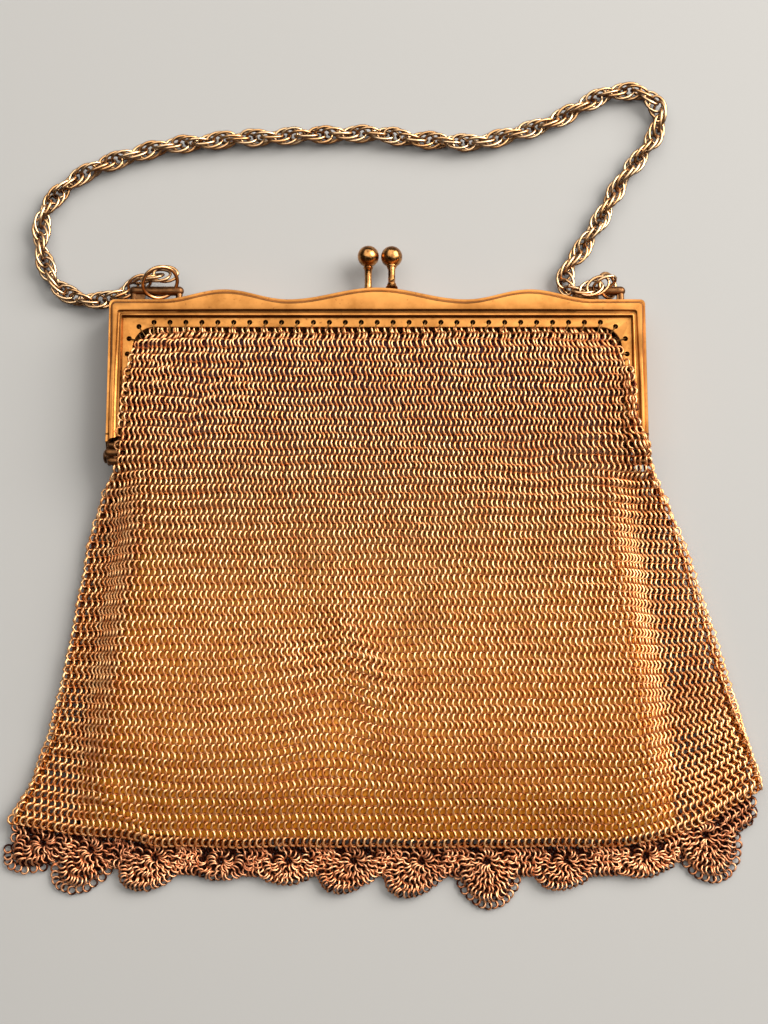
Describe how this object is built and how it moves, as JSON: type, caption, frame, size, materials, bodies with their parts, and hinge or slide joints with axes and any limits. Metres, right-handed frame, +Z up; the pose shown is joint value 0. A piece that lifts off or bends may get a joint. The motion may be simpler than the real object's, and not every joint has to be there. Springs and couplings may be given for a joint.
{
  "type": "ring-mesh purse",
  "caption": "Frame purse lying flat: hinged gilt frame with wavy top and kiss-lock ball clasp, flared ring-mesh bag with gold lining and scalloped hem, and a chain handle laid in a loop.",
  "frame": {"origin": "on the table under the middle of the box that holds the bag, its frame and the laid-out chain", "axes": "+X to the right across the frame, +Y from the hem towards the frame and the chain, +Z up off the table through the bag's front"},
  "size_m": [0.1916, 0.2184, 0.0126],
  "materials": {
    "gilt_frame": "satin",
    "clasp_brass": "polished",
    "dark_brass": "worn",
    "chain_brass": "polished",
    "ring_mesh": "polished",
    "gold_lining": "satin"
  },
  "bodies": {
    "root": {"frame_front": "gilt_frame", "frame_back": "gilt_frame", "hinge_rivet_left": "dark_brass", "hinge_rivet_right": "dark_brass", "clasp_knob_front": "clasp_brass", "clasp_knob_back": "clasp_brass", "mesh_bag": "ring_mesh", "lining": "gold_lining", "scallop_border": "ring_mesh", "chain_ring_left": "chain_brass", "chain_ring_right": "chain_brass", "chain_handle": "chain_brass"}
  },
  "joints": []
}
